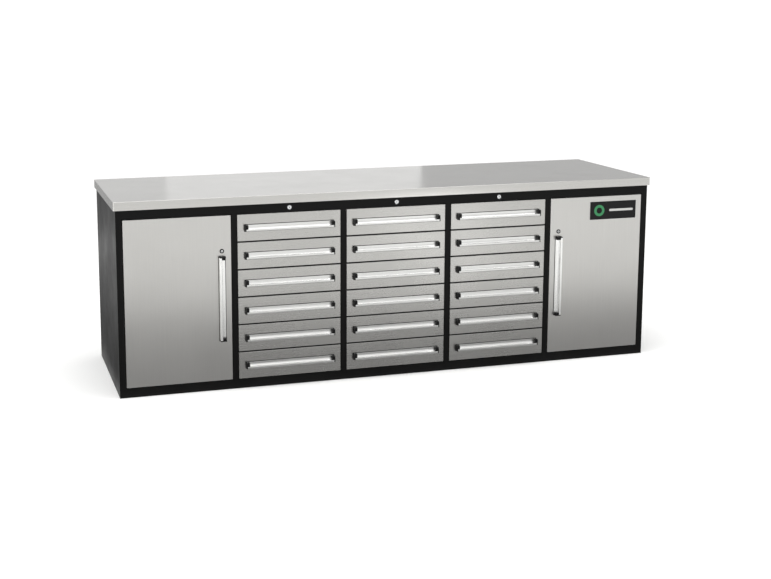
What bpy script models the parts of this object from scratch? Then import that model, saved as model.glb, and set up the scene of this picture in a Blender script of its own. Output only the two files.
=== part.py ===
"""A ten-foot steel workbench cabinet: a stainless worktop on a black welded body, three banks of six
drawers between two door cupboards. Each bank has a key lock that lifts a bar behind its drawers.

Run it with: blender --background --python part.py
Metres, +Z up, +Y towards the back. The origin is on the floor, in the middle of the bounding box.
"""

import math

import bmesh
import bpy
from mathutils import Matrix, Vector

# ---------------------------------------------------------------------------------- driving dimensions

BODY_WIDTH = 2.840
BODY_DEPTH = 0.790
BODY_TOP = 0.928
WORKTOP_TOP = 0.970
WORKTOP_OVERHANG = 0.010
HANDLE_REACH = 0.024  # how far a handle stands out from the front plane

STEEL = 0.0015  # sheet of the body and the worktop
THIN = 0.0012  # sheet of the drawers and doors
GAP = 0.0003  # between two pieces that touch
WELD = 0.0006  # how deep one piece runs into another that it is welded to
CUT = 0.010  # how far a cutter runs past the sheet that it cuts

BANKS = 3
ROWS = 6
BAYS = BANKS + 2
OPENING_WIDTH = 0.533
OPENING_LOW = 0.047
OPENING_HIGH = 0.881
STILE_WIDTH = 0.028
FRAME_DEPTH = 0.020
FIT = 0.002  # gap round a door or a bank of drawer fronts
FRONT_SPLIT = 0.004  # gap between two drawer fronts

LOCK_HEIGHT = 0.904
LOCK_BEZEL = 0.011  # radii
LOCK_BARREL = 0.009
LOCK_HOLE = 0.0095
LOCK_ROD = 0.004
BEZEL_OUT = 0.0028  # how far a lock's bezel stands out
BARREL_LENGTH = 0.026

# ---------------------------------------------------------------------------------- what follows from them

FRONT = -(BODY_DEPTH + WORKTOP_OVERHANG - HANDLE_REACH) / 2
BACK = FRONT + BODY_DEPTH
SIDE = BODY_WIDTH / 2
PITCH_X = OPENING_WIDTH + STILE_WIDTH
BAY_X = [(bay - (BAYS - 1) / 2) * PITCH_X for bay in range(BAYS)]
BANK_X = BAY_X[1:-1]
PANEL_WIDTH = OPENING_WIDTH - 2 * FIT
PANEL_LOW = OPENING_LOW + FIT
PANEL_HEIGHT = OPENING_HIGH - OPENING_LOW - 2 * FIT
DRAWER_HEIGHT = (PANEL_HEIGHT - (ROWS - 1) * FRONT_SPLIT) / ROWS
DRAWER_PITCH = DRAWER_HEIGHT + FRONT_SPLIT
ROW_Z = [PANEL_LOW + row * DRAWER_PITCH for row in range(ROWS)]  # lowest drawer first
INSIDE_FRONT = FRONT + FRAME_DEPTH + GAP
CUPBOARD_DIVIDER = 0.012  # the divider next to a cupboard is thin, so that the lock's cam has room

# Drawers, in the drawer's own frame: x from its middle, y back from its front, z up from its front's foot.
TRAY_WIDTH = 0.507
TRAY_LOW = 0.008
TRAY_HIGH = 0.120
TRAY_BACK = 0.720
PANEL_DEPTH = 0.020
SLIDE_Z = (TRAY_LOW + TRAY_HIGH) / 2
SLIDE_START = 0.022
SLIDE_END = 0.702
INNER_SLIDE_HEIGHT = 0.030
INNER_SLIDE_REACH = 0.0105
OUTER_SLIDE_HEIGHT = 0.042
OUTER_SLIDE_REACH = 0.0115
CATCH_HALF_WIDTH = 0.015
CATCH_TOP = 0.100
CATCH_LIP_FOOT = 0.086
CATCH_BACK = 0.736
CATCH_SHEET = 0.002

# Lock bars, in the same y and z as the drawers.
BAR_FRONT = 0.742
BAR_BACK = 0.745
BAR_HALF_WIDTH = 0.015
BAR_FOOT = 0.075
BAR_HEAD_HALF_WIDTH = 0.020
BAR_HEAD_BELOW = 0.012  # from the middle of its slot to its lower and upper edge
BAR_HEAD_ABOVE = 0.009
FINGER_FRONT = 0.724
FINGER_BACK = 0.728
FINGER_TOP = CATCH_LIP_FOOT - 0.003
FINGER_FOOT = FINGER_TOP - 0.015
FINGER_HALF_WIDTH = 0.006
ARM_THICKNESS = 0.004
CRANK = 0.0085  # from the lock's axis to its crank pin, which starts and ends 45 degrees off level
CRANK_PIN = 0.003
CRANK_RISE = CRANK * math.sin(math.radians(45))
CRANK_PLAY = 0.0005

# Guides on the back panel: a block that the bar slides in, on a post.
GUIDE_ROWS = (1, ROWS - 1)
GUIDE_DROP = 0.020  # below the foot of the drawer front of its row
GUIDE_HALF_WIDTH = 0.020
GUIDE_HALF_HEIGHT = 0.015
GUIDE_FRONT_WALL = 0.003
GUIDE_BACK_WALL = 0.004
GUIDE_PLAY = 0.0005
POST_HALF = 0.012

# Doors, in the door's own frame: origin on its hinge line, x towards its free edge.
HINGE_INSET = 0.016
HINGE_DEPTH = 0.007
HINGE_PIN = 0.0035
HINGE_HOLE = 0.0042
HINGE_PIN_OUT = 0.007
DOOR_FITTINGS_INSET = 0.047  # handle and lock, from the door's free edge
DOOR_LOCK_Z = 0.703
CAM_LENGTH = 0.061
CAM_HALF_WIDTH = 0.008
CAM_FRONT = 0.024
CAM_BACK = 0.027

# Handles: a back plate, and a scoop that curves out from it to a lip. Fingers hook over the lip from above.
HANDLE_HALF_HEIGHT = 0.0155
DRAWER_HANDLE_LENGTH = 0.448
DOOR_HANDLE_LENGTH = 0.415
HANDLE_WALL = 0.002
SCOOP_RADIUS = 0.015
SCOOP_HEIGHT = 0.0065  # of the scoop's centre above the handle's middle
SCOOP_END = math.radians(106)  # how far the scoop turns from the back plate to the lip
SCOOP_STEPS = 7
LIP_TIP = -0.0048
LIP_WALL = 0.0024
LIP_ROUND = 0.0012
LIP_FOOT = 0.0035

SHELF_TOP = 0.495
SHELF_THICKNESS = 0.025
SHELF_FRONT = 0.060  # behind the front plane
SHELF_BACK = 0.040  # in front of the back
SHELF_SIDE_GAP = 0.002
CLEAT = 0.014
CLEAT_FRONT = 0.080
CLEAT_BACK = 0.070

TOP_FLANGE = 0.025  # of a side panel, inwards
STIFFENER_INSET = 0.075  # of the outer two, from the body's front and back
STIFFENER_HALF_WIDTH = 0.030
STIFFENER_END = 0.015
PAN_DROP = 0.002  # of the base pan below the openings

# ---------------------------------------------------------------------------------- scene, materials

for old in list(bpy.data.objects):
    bpy.data.objects.remove(old, do_unlink=True)

PARTS = bpy.data.collections.new("workbench_cabinet")
bpy.context.scene.collection.children.link(PARTS)


def finish(name, colour, roughness, metallic):
    """A plain material: a Principled BSDF with its colour, roughness and metallic value."""
    material = bpy.data.materials.new(name)
    material.use_nodes = True
    shader = material.node_tree.nodes["Principled BSDF"]
    shader.inputs["Base Color"].default_value = (*colour, 1.0)
    shader.inputs["Roughness"].default_value = roughness
    shader.inputs["Metallic"].default_value = metallic
    material.diffuse_color = (*colour, 1.0)
    return material


STAINLESS = finish("brushed_stainless", (0.58, 0.58, 0.56), 0.35, 1.0)
BLACK_PAINT = finish("black_powder_coat", (0.012, 0.012, 0.012), 0.45, 0.0)
ALUMINIUM = finish("satin_aluminium", (0.80, 0.80, 0.79), 0.30, 1.0)
CHROME = finish("chrome_plate", (0.75, 0.75, 0.75), 0.12, 1.0)
ZINC = finish("zinc_plated_steel", (0.50, 0.51, 0.52), 0.40, 1.0)


# ---------------------------------------------------------------------------------- shapes

SIDES = {
    "-X": Vector((-1, 0, 0)), "+X": Vector((1, 0, 0)),
    "-Y": Vector((0, -1, 0)), "+Y": Vector((0, 1, 0)),
    "-Z": Vector((0, 0, -1)), "+Z": Vector((0, 0, 1)),
}


def linked(name, mesh):
    made = bpy.data.objects.new(name, mesh)
    PARTS.objects.link(made)
    return made


def block_bmesh(low, high):
    low, high = Vector(low), Vector(high)
    shape = bmesh.new()
    bmesh.ops.create_cube(shape, size=1.0)
    bmesh.ops.scale(shape, vec=high - low, verts=shape.verts)
    bmesh.ops.translate(shape, vec=(low + high) / 2, verts=shape.verts)
    return shape


def from_bmesh(name, shape):
    mesh = bpy.data.meshes.new(name)
    shape.to_mesh(mesh)
    shape.free()
    return linked(name, mesh)


def block(low, high):
    """A plain box between two corners."""
    return from_bmesh("block", block_bmesh(low, high))


def folded(low, high, open_sides, thickness):
    """A folded sheet: the faces of a box, without the open ones, with their thickness inwards."""
    shape = block_bmesh(low, high)
    normals = [SIDES[side] for side in open_sides]
    doomed = [face for face in shape.faces if any(face.normal.dot(n) > 0.9 for n in normals)]
    bmesh.ops.delete(shape, geom=doomed, context="FACES_ONLY")
    loose = [edge for edge in shape.edges if not edge.link_faces]
    bmesh.ops.delete(shape, geom=loose, context="EDGES")
    sheet = from_bmesh("folded", shape)
    solid = sheet.modifiers.new("thickness", "SOLIDIFY")
    solid.thickness = thickness
    solid.offset = -1.0
    solid.use_even_offset = True
    return sheet


def rod(radius, start, end, sides=16):
    """A round bar from start to end, which lie on one axis."""
    start, end = Vector(start), Vector(end)
    along = end - start
    shape = bmesh.new()
    bmesh.ops.create_cone(
        shape, cap_ends=True, segments=sides, radius1=radius, radius2=radius, depth=along.length
    )
    turn = Vector((0, 0, 1)).rotation_difference(along.normalized()).to_matrix().to_4x4()
    bmesh.ops.transform(shape, matrix=Matrix.Translation((start + end) / 2) @ turn, verts=shape.verts)
    return from_bmesh("rod", shape)


def extruded(outline, length):
    """A section in the (y, z) plane, extruded along x over length, centred on x = 0."""
    curve = bpy.data.curves.new("section", "CURVE")
    curve.dimensions = "2D"
    curve.fill_mode = "BOTH"
    curve.extrude = length / 2
    spline = curve.splines.new("POLY")
    spline.points.add(len(outline) - 1)
    for point, (y, z) in zip(spline.points, outline):
        point.co = (y, z, 0.0, 1.0)
    spline.use_cyclic_u = True
    drawn = linked("section", curve)
    mesh = baked(drawn)
    mesh.transform(Matrix(((0, 0, 1, 0), (1, 0, 0, 0), (0, 1, 0, 0), (0, 0, 0, 1))))
    return linked("extruded", mesh)


def baked(source):
    """The object's evaluated mesh, with its doubles merged; the object is removed."""
    bpy.context.view_layer.update()
    evaluated = source.evaluated_get(bpy.context.evaluated_depsgraph_get())
    mesh = bpy.data.meshes.new_from_object(evaluated)
    bpy.data.objects.remove(source, do_unlink=True)
    shape = bmesh.new()
    shape.from_mesh(mesh)
    bmesh.ops.remove_doubles(shape, verts=shape.verts, dist=1e-6)
    shape.to_mesh(mesh)
    shape.free()
    return mesh


def welded(pieces, cuts=()):
    """The mesh of several pieces joined into one body, less the cuts."""
    first, *others = pieces
    for operation, operands in (("UNION", others), ("DIFFERENCE", cuts)):
        for operand in operands:
            if operand.modifiers:
                operand = linked("operand", baked(operand))
            join = first.modifiers.new(operation.lower(), "BOOLEAN")
            join.operation = operation
            join.solver = "EXACT"
            join.object = operand
    operands = [m.object for m in first.modifiers if m.type == "BOOLEAN"]
    mesh = baked(first)
    for operand in operands:
        bpy.data.objects.remove(operand, do_unlink=True)
    return mesh


def part(name, mesh, material, place=(0, 0, 0), parent=None, turn_y=0.0):
    """A finished node: the mesh with its material, placed by its own or its parent's origin."""
    if not mesh.materials:
        mesh.materials.append(material)
    mesh.shade_smooth()
    mesh.set_sharp_from_angle(angle=math.radians(30))
    made = linked(name, mesh)
    made.parent = parent
    made.location = place
    made.rotation_euler = (0, turn_y, 0)
    return made


# ---------------------------------------------------------------------------------- body

def add_face_frame():
    """The front frame: a sheet with a return round its rim and round each of the five openings."""
    shape = block_bmesh(
        (-SIDE + STEEL + GAP, FRONT, 0), (SIDE - STEEL - GAP, FRONT + FRAME_DEPTH, BODY_TOP)
    )
    plate = from_bmesh("plate", shape)
    cutters = [
        block(
            (x - OPENING_WIDTH / 2, FRONT - CUT, OPENING_LOW),
            (x + OPENING_WIDTH / 2, FRONT + FRAME_DEPTH + CUT, OPENING_HIGH),
        )
        for x in BAY_X
    ]
    sheet_mesh = welded([plate], cutters)
    shape = bmesh.new()
    shape.from_mesh(sheet_mesh)
    rear = [f for f in shape.faces if f.normal.y > 0.9]
    bmesh.ops.delete(shape, geom=rear, context="FACES")
    shape.to_mesh(sheet_mesh)
    shape.free()
    sheet = linked("frame_sheet", sheet_mesh)
    solid = sheet.modifiers.new("thickness", "SOLIDIFY")
    solid.thickness = STEEL
    solid.offset = -1.0
    solid.use_even_offset = True
    frame = linked("frame_shell", baked(sheet))
    holes = [
        rod(LOCK_HOLE, (x, FRONT - CUT, LOCK_HEIGHT), (x, FRONT + CUT, LOCK_HEIGHT)) for x in BANK_X
    ]
    for side in (-1, 1):
        x = hinge_x(side)
        y = FRONT + HINGE_DEPTH
        for z in (OPENING_LOW, OPENING_HIGH):
            holes.append(rod(HINGE_HOLE, (x, y, z - CUT), (x, y, z + CUT)))
    part("face_frame", welded([frame], holes), BLACK_PAINT)


def cleat(x, towards):
    """A shelf cleat on the sheet at x, standing out towards -1 or +1."""
    near, far = sorted((x - towards * WELD, x + towards * CLEAT))
    top = SHELF_TOP - SHELF_THICKNESS - GAP
    return block((near, FRONT + CLEAT_FRONT, top - CLEAT), (far, BACK - CLEAT_BACK, top))


def add_side_panels():
    """A side panel reaches the front plane, with an inward flange along its top and a shelf cleat."""
    for name, side in (("side_panel_left", -1), ("side_panel_right", 1)):
        outer = side * SIDE
        inner = outer - side * STEEL
        low, high = sorted((outer, inner))
        sheet = block((low, FRONT, 0), (high, BACK, BODY_TOP))
        low, high = sorted((inner + side * WELD, outer - side * TOP_FLANGE))
        top = block((low, INSIDE_FRONT, BODY_TOP - STEEL), (high, BACK - PANEL_DEPTH - CUT / 2, BODY_TOP))
        part(name, welded([sheet, top, cleat(inner, -side)]), BLACK_PAINT)


def add_base_pan():
    """The floor of the bays, with its edges folded down to the ground."""
    reach = SIDE - STEEL - GAP
    pan = folded(
        (-reach, INSIDE_FRONT, 0), (reach, BACK - PANEL_DEPTH - GAP, OPENING_LOW - PAN_DROP), ("-Z",), STEEL
    )
    part("base_pan", baked(pan), BLACK_PAINT)


def add_back_panel():
    """The back sheet with forward flanges, and the guides that the three lock bars slide in."""
    reach = SIDE - STEEL - GAP
    sheet = folded((-reach, BACK - PANEL_DEPTH, 0), (reach, BACK, BODY_TOP), ("-Y",), STEEL)
    pieces = [linked("back_shell", baked(sheet))]
    cuts = []
    for x in BANK_X:
        for row in GUIDE_ROWS:
            z = ROW_Z[row] - GUIDE_DROP
            slot = BAR_HALF_WIDTH + GUIDE_PLAY
            pieces.append(block((x - POST_HALF, FRONT + BAR_BACK + GUIDE_BACK_WALL - WELD, z - POST_HALF),
                                (x + POST_HALF, BACK - STEEL + WELD, z + POST_HALF)))
            pieces.append(block(
                (x - GUIDE_HALF_WIDTH, FRONT + BAR_FRONT - GUIDE_FRONT_WALL, z - GUIDE_HALF_HEIGHT),
                (x + GUIDE_HALF_WIDTH, FRONT + BAR_BACK + GUIDE_BACK_WALL, z + GUIDE_HALF_HEIGHT),
            ))
            cuts.append(block(
                (x - slot, FRONT + BAR_FRONT - GUIDE_PLAY, z - GUIDE_HALF_HEIGHT - CUT),
                (x + slot, FRONT + BAR_BACK + GUIDE_PLAY, z + GUIDE_HALF_HEIGHT + CUT),
            ))
    part("back_panel", welded(pieces, cuts), BLACK_PAINT)


def outer_slide(face, towards, row):
    """The fixed half of a drawer slide: a channel on the divider's face, open towards the drawer."""
    z = ROW_Z[row] + SLIDE_Z
    near, far = sorted((face - towards * WELD, face + towards * OUTER_SLIDE_REACH))
    open_side = "+X" if towards > 0 else "-X"
    return folded(
        (near, FRONT + SLIDE_START, z - OUTER_SLIDE_HEIGHT / 2),
        (far, FRONT + SLIDE_END, z + OUTER_SLIDE_HEIGHT / 2),
        (open_side, "-Y", "+Y"),
        STEEL,
    )


def add_dividers():
    """The four hollow dividers, open at the back, with the fixed slides of the drawers beside them."""
    for number in range(1, BAYS):
        left = BAY_X[number - 1] + OPENING_WIDTH / 2
        right = BAY_X[number] - OPENING_WIDTH / 2
        slides_left = number > 1
        slides_right = number < BAYS - 1
        low = left if slides_left else right - CUPBOARD_DIVIDER
        high = right if slides_right else left + CUPBOARD_DIVIDER
        shell = folded(
            (low, INSIDE_FRONT, OPENING_LOW - PAN_DROP + GAP),
            (high, BACK - PANEL_DEPTH - GAP, BODY_TOP),
            ("+Y",),
            STEEL,
        )
        pieces = [linked("divider", baked(shell))]
        for row in range(ROWS):
            if slides_left:
                pieces.append(outer_slide(low, -1, row))
            if slides_right:
                pieces.append(outer_slide(high, 1, row))
        if not slides_left:
            pieces.append(cleat(low, -1))
        if not slides_right:
            pieces.append(cleat(high, 1))
        part(f"divider_{number}", welded(pieces), BLACK_PAINT)


def add_shelves():
    """One tray-shaped shelf in each cupboard, on its two cleats."""
    for name, bay, side in (("shelf_left", 0, -1), ("shelf_right", -1, 1)):
        wall = side * (SIDE - STEEL - SHELF_SIDE_GAP)
        face = OPENING_WIDTH / 2 + STILE_WIDTH - CUPBOARD_DIVIDER
        divider = BAY_X[bay] - side * (face - SHELF_SIDE_GAP)
        low, high = sorted((wall, divider))
        shelf = folded(
            (low, FRONT + SHELF_FRONT, SHELF_TOP - SHELF_THICKNESS),
            (high, BACK - SHELF_BACK, SHELF_TOP),
            ("-Z", "-X", "+X"),
            STEEL,
        )
        part(name, baked(shelf), BLACK_PAINT)


def add_worktop():
    """The stainless top: a pan open below, with three stiffening channels that rest on the body."""
    reach_x = SIDE + WORKTOP_OVERHANG
    pan = folded(
        (-reach_x, FRONT - WORKTOP_OVERHANG, BODY_TOP),
        (reach_x, BACK + WORKTOP_OVERHANG, WORKTOP_TOP),
        ("-Z",),
        STEEL,
    )
    pieces = [linked("worktop_pan", baked(pan))]
    for y in (FRONT + STIFFENER_INSET, (FRONT + BACK) / 2, BACK - STIFFENER_INSET):
        pieces.append(
            folded(
                (-reach_x + STIFFENER_END, y - STIFFENER_HALF_WIDTH, BODY_TOP + GAP),
                (reach_x - STIFFENER_END, y + STIFFENER_HALF_WIDTH, WORKTOP_TOP - STEEL + WELD),
                ("+Z", "-X", "+X"),
                STEEL,
            )
        )
    part("worktop", welded(pieces), STAINLESS)


# ---------------------------------------------------------------------------------- handles

def scoop_arc(radius, start, end):
    """Points on an arc about the scoop's centre, by how far each has turned down from level."""
    centre_y = -HANDLE_WALL - GAP - SCOOP_RADIUS
    turns = [start + (end - start) * step / SCOOP_STEPS for step in range(SCOOP_STEPS + 1)]
    return [(centre_y + radius * math.cos(t), SCOOP_HEIGHT - radius * math.sin(t)) for t in turns]


def handle_section():
    """The handle's section as (y, z) points, with the panel's face at y = 0 and outwards as -y."""
    half, reach = HANDLE_HALF_HEIGHT, HANDLE_REACH
    plate_front = -GAP - HANDLE_WALL
    under = SCOOP_RADIUS + HANDLE_WALL
    leave = math.acos(SCOOP_RADIUS / under)  # where the scoop's underside meets the back plate
    return [
        (-GAP, half),
        (plate_front, half),
        *scoop_arc(SCOOP_RADIUS, 0.0, SCOOP_END),
        (-reach + LIP_WALL, LIP_TIP - LIP_ROUND / 2),
        (-reach + LIP_WALL / 2, LIP_TIP),
        (-reach, LIP_TIP - LIP_ROUND),
        (-reach, -half + LIP_FOOT),
        (-reach + LIP_ROUND, -half + LIP_ROUND),
        (-reach + LIP_FOOT, -half),
        (-reach + LIP_FOOT, -half + HANDLE_WALL),
        *reversed(scoop_arc(under, leave, SCOOP_END - math.radians(14))),
        (plate_front, -half),
        (-GAP, -half),
    ]


def handle_mesh(length):
    return baked(extruded(handle_section(), length))


# ---------------------------------------------------------------------------------- drawers

def drawer_mesh():
    """One drawer: its folded front, its tray, the two moving slides and the catch on its back."""
    half = PANEL_WIDTH / 2
    tray_half = TRAY_WIDTH / 2
    front = folded((-half, 0, 0), (half, PANEL_DEPTH, DRAWER_HEIGHT), ("+Y",), THIN)
    pieces = [
        linked("drawer_front", baked(front)),
        folded((-tray_half, WELD, TRAY_LOW), (tray_half, TRAY_BACK, TRAY_HIGH), ("+Z",), THIN),
    ]
    for side in (-1, 1):
        web = side * (tray_half - WELD)
        rim = side * (tray_half + INNER_SLIDE_REACH)
        low, high = sorted((web, rim))
        pieces.append(
            folded(
                (low, SLIDE_START, SLIDE_Z - INNER_SLIDE_HEIGHT / 2),
                (high, SLIDE_END - 0.010, SLIDE_Z + INNER_SLIDE_HEIGHT / 2),
                ("+X" if side > 0 else "-X", "-Y", "+Y"),
                STEEL,
            )
        )
    lip = CATCH_HALF_WIDTH
    pieces.append(block((-lip, TRAY_BACK - WELD, CATCH_TOP - CATCH_SHEET), (lip, CATCH_BACK, CATCH_TOP)))
    pieces.append(
        block((-lip, CATCH_BACK - CATCH_SHEET, CATCH_LIP_FOOT), (lip, CATCH_BACK, CATCH_TOP - WELD))
    )
    return welded(pieces)


def add_drawers():
    tray = drawer_mesh()
    pull = handle_mesh(DRAWER_HANDLE_LENGTH)
    for bank, x in enumerate(BANK_X, start=1):
        for row, z in enumerate(reversed(ROW_Z), start=1):
            drawer = part(f"drawer_{bank}_{row}", tray, STAINLESS, (x, FRONT, z))
            part(f"drawer_handle_{bank}_{row}", pull, ALUMINIUM, (0, 0, DRAWER_HEIGHT / 2), drawer)


# ---------------------------------------------------------------------------------- doors

def hinge_x(side):
    """The hinge line of the door at side -1 or +1, which is near the cabinet's outer edge."""
    bay = BAY_X[0] if side < 0 else BAY_X[-1]
    return bay + side * (PANEL_WIDTH / 2 - HINGE_INSET)


def door_mesh(side):
    """A folded door with a pivot pin at its top and bottom and a hole for its lock."""
    hinge_edge = side * HINGE_INSET
    free_edge = -side * (PANEL_WIDTH - HINGE_INSET)
    low, high = sorted((hinge_edge, free_edge))
    sheet = folded((low, -HINGE_DEPTH, 0), (high, PANEL_DEPTH - HINGE_DEPTH, PANEL_HEIGHT), ("+Y",), THIN)
    skin = linked("door_skin", baked(sheet))
    pins = [
        rod(HINGE_PIN, (0, 0, PANEL_HEIGHT - 0.015), (0, 0, PANEL_HEIGHT + HINGE_PIN_OUT)),
        rod(HINGE_PIN, (0, 0, -HINGE_PIN_OUT), (0, 0, 0.015)),
    ]
    x = free_edge + side * DOOR_FITTINGS_INSET
    z = DOOR_LOCK_Z - PANEL_LOW
    hole = rod(LOCK_HOLE, (x, -HINGE_DEPTH - CUT, z), (x, -HINGE_DEPTH + CUT, z))
    return welded([skin, *pins], [hole])


def door_lock_mesh():
    """A cam lock: bezel, barrel and a cam that hangs down while the door is unlocked."""
    return welded(
        [
            rod(LOCK_BARREL, (0, -GAP - WELD, 0), (0, CAM_BACK, 0)),
            rod(LOCK_BEZEL, (0, -BEZEL_OUT, 0), (0, -GAP, 0)),
            block((-CAM_HALF_WIDTH, CAM_FRONT, -CAM_LENGTH), (CAM_HALF_WIDTH, CAM_BACK + 0.0002, 0.008)),
        ]
    )


def add_doors():
    pull = handle_mesh(DOOR_HANDLE_LENGTH)
    lock = door_lock_mesh()
    for name, side in (("left", -1), ("right", 1)):
        x, y = hinge_x(side), FRONT + HINGE_DEPTH
        door = part(f"door_{name}", door_mesh(side), STAINLESS, (x, y, PANEL_LOW))
        fittings_x = -side * (PANEL_WIDTH - HINGE_INSET - DOOR_FITTINGS_INSET)
        # The open side of the handle faces the door's free edge.
        part(f"door_handle_{name}", pull, ALUMINIUM, (fittings_x, -HINGE_DEPTH, PANEL_HEIGHT / 2), door,
             turn_y=-side * math.pi / 2)
        part(f"door_lock_{name}", lock, CHROME, (fittings_x, -HINGE_DEPTH, DOOR_LOCK_Z - PANEL_LOW), door)


# ---------------------------------------------------------------------------------- bank locks

def bank_lock_mesh():
    """A lock with a rod to the back and a crank whose pin starts 45 degrees below level."""
    arm_back = BAR_FRONT - ARM_THICKNESS
    arm_front = arm_back - STEEL * 2
    pin = Vector((CRANK_RISE, 0, -CRANK_RISE))
    arm = block((-LOCK_ROD, arm_front, -LOCK_ROD), (CRANK + LOCK_ROD, arm_back, LOCK_ROD))
    arm.data.transform(Matrix.Rotation(math.radians(45), 4, "Y"))
    return welded(
        [
            rod(LOCK_BARREL, (0, -GAP - WELD, 0), (0, BARREL_LENGTH, 0)),
            rod(LOCK_BEZEL, (0, -BEZEL_OUT, 0), (0, -GAP, 0)),
            rod(LOCK_ROD, (0, BARREL_LENGTH - WELD, 0), (0, arm_back - WELD, 0), 12),
            arm,
            rod(CRANK_PIN, (pin.x, arm_back - WELD, pin.z), (pin.x, BAR_BACK + ARM_THICKNESS, pin.z), 12),
        ]
    )


def lock_bar_mesh():
    """A bar with six hooks and a slotted head, drawn at its lowest place with z from the floor."""
    head_mid = LOCK_HEIGHT - CRANK_RISE
    pieces = [
        block((-BAR_HALF_WIDTH, BAR_FRONT, BAR_FOOT), (BAR_HALF_WIDTH, BAR_BACK, head_mid - CRANK)),
        block((-BAR_HEAD_HALF_WIDTH, BAR_FRONT, head_mid - BAR_HEAD_BELOW),
              (BAR_HEAD_HALF_WIDTH, BAR_BACK, head_mid + BAR_HEAD_ABOVE)),
    ]
    for z in ROW_Z:
        foot = z + FINGER_FOOT
        pieces.append(block((-FINGER_HALF_WIDTH, FINGER_FRONT, foot - ARM_THICKNESS),
                            (FINGER_HALF_WIDTH, BAR_FRONT + WELD, foot)))
        pieces.append(block((-FINGER_HALF_WIDTH, FINGER_FRONT, foot - WELD),
                            (FINGER_HALF_WIDTH, FINGER_BACK, z + FINGER_TOP)))
    play = CRANK_PIN + CRANK_PLAY
    slot = block((CRANK_RISE - play, BAR_FRONT - CUT, head_mid - play),
                 (CRANK + play, BAR_BACK + CUT, head_mid + play))
    return welded(pieces, [slot])


def add_bank_locks():
    lock = bank_lock_mesh()
    bar = lock_bar_mesh()
    for bank, x in enumerate(BANK_X, start=1):
        part(f"bank_lock_{bank}", lock, CHROME, (x, FRONT, LOCK_HEIGHT))
        part(f"lock_bar_{bank}", bar, ZINC, (x, FRONT, 0))


add_face_frame()
add_side_panels()
add_base_pan()
add_back_panel()
add_dividers()
add_shelves()
add_worktop()
add_drawers()
add_doors()
add_bank_locks()
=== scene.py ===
# %% [markdown]
# # A workbench cabinet in stainless and black steel
#
# The real object is a workshop bench almost three metres long: a stainless top on a black folded steel body,
# with three banks of six drawers between two cupboards. The solid model already gives every part its size,
# its place and its motion, so this lesson only dresses it. It loads the solids as a fixed frame and then
# swaps the plain ones for sheet metal with real bends, extrusions, moulded caps and turned locks.
# Every number is in metres.

# %% Load the solids
import math

import bmesh
import bpy
from mathutils import Matrix, Vector


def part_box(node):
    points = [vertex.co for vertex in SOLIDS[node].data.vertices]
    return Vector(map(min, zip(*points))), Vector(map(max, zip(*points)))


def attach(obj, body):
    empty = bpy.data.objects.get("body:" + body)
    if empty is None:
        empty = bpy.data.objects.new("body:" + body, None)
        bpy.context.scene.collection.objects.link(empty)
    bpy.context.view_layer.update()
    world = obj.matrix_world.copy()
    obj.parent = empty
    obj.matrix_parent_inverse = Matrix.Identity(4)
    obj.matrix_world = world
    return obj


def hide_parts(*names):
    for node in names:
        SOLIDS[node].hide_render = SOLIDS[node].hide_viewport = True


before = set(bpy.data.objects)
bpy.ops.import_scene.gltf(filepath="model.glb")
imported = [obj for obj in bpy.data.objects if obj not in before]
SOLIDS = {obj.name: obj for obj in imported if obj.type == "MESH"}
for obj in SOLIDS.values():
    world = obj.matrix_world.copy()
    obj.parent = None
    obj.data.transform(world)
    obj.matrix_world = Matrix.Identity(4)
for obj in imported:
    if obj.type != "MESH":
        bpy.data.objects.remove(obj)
SCENE = bpy.context.scene
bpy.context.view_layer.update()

# %% [markdown]
# ## The few lengths that the steps share
#
# The layout comes from the boxes of the solids themselves: a drawer's box says where its front stands, and a
# door's box where its edges are. Sheet gauges, bend radii and the size of an opening can't be read from a
# box, so they are named here once. A press brake leaves a bend a little wider than the sheet is thick, and
# that small round edge is what catches the light on real sheet metal.

# %% Shared lengths
BANKS = (1, 2, 3)
ROWS = (1, 2, 3, 4, 5, 6)
DRAWERS = [(bank, row) for bank in BANKS for row in ROWS]
ENDS = (("left", -1), ("right", 1))
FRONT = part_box("drawer_1_1")[0].y
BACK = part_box("back_panel")[1].y
BODY_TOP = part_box("face_frame")[1].z


def middle_x(name):
    """The middle of a solid's box along the bench."""
    low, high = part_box(name)
    return (low.x + high.x) / 2


BANK_X = [middle_x(f"drawer_{bank}_1") for bank in BANKS]
PITCH_X = BANK_X[1] - BANK_X[0]
BAY_X = [BANK_X[0] - PITCH_X, *BANK_X, BANK_X[2] + PITCH_X]
GAP = 0.002
PIN_REACH = 0.005
FRONT_HALF = (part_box("drawer_1_1")[1].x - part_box("drawer_1_1")[0].x) / 2
OPENING_HALF = FRONT_HALF + GAP
OPENING_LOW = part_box("door_left")[0].z + PIN_REACH
OPENING_HEIGHT = 0.834
OPENING_HIGH = OPENING_LOW + OPENING_HEIGHT
DRAWER_HEIGHT = 0.135
PANEL_DEPTH = 0.020
FRAME_RETURN = 0.020
TRAY_HALF = 0.2535
BODY_SHEET = 0.0015
PANEL_SHEET = 0.0012
BODY_BEND = 0.0016
PANEL_BEND = 0.0026
print("front plane", round(FRONT, 4), "bays at", [round(x, 3) for x in BAY_X])

# %% [markdown]
# ## Colour and nodes
#
# Colours are picked as sRGB hex codes, because that is how swatches and colour cards are given, and the
# renderer wants linear light, so one function does the change. One more function adds a shader node with its
# settings and its links. That keeps each finish below down to what the real surface is made of.

# %% Colour and node helpers


def srgb(code):
    """A hex colour such as #d0d0cc as linear red, green, blue and alpha."""
    channels = [int(code[i:i + 2], 16) / 255 for i in (1, 3, 5)]
    return (*(c / 12.92 if c <= 0.04045 else ((c + 0.055) / 1.055) ** 2.4 for c in channels), 1.0)


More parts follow.
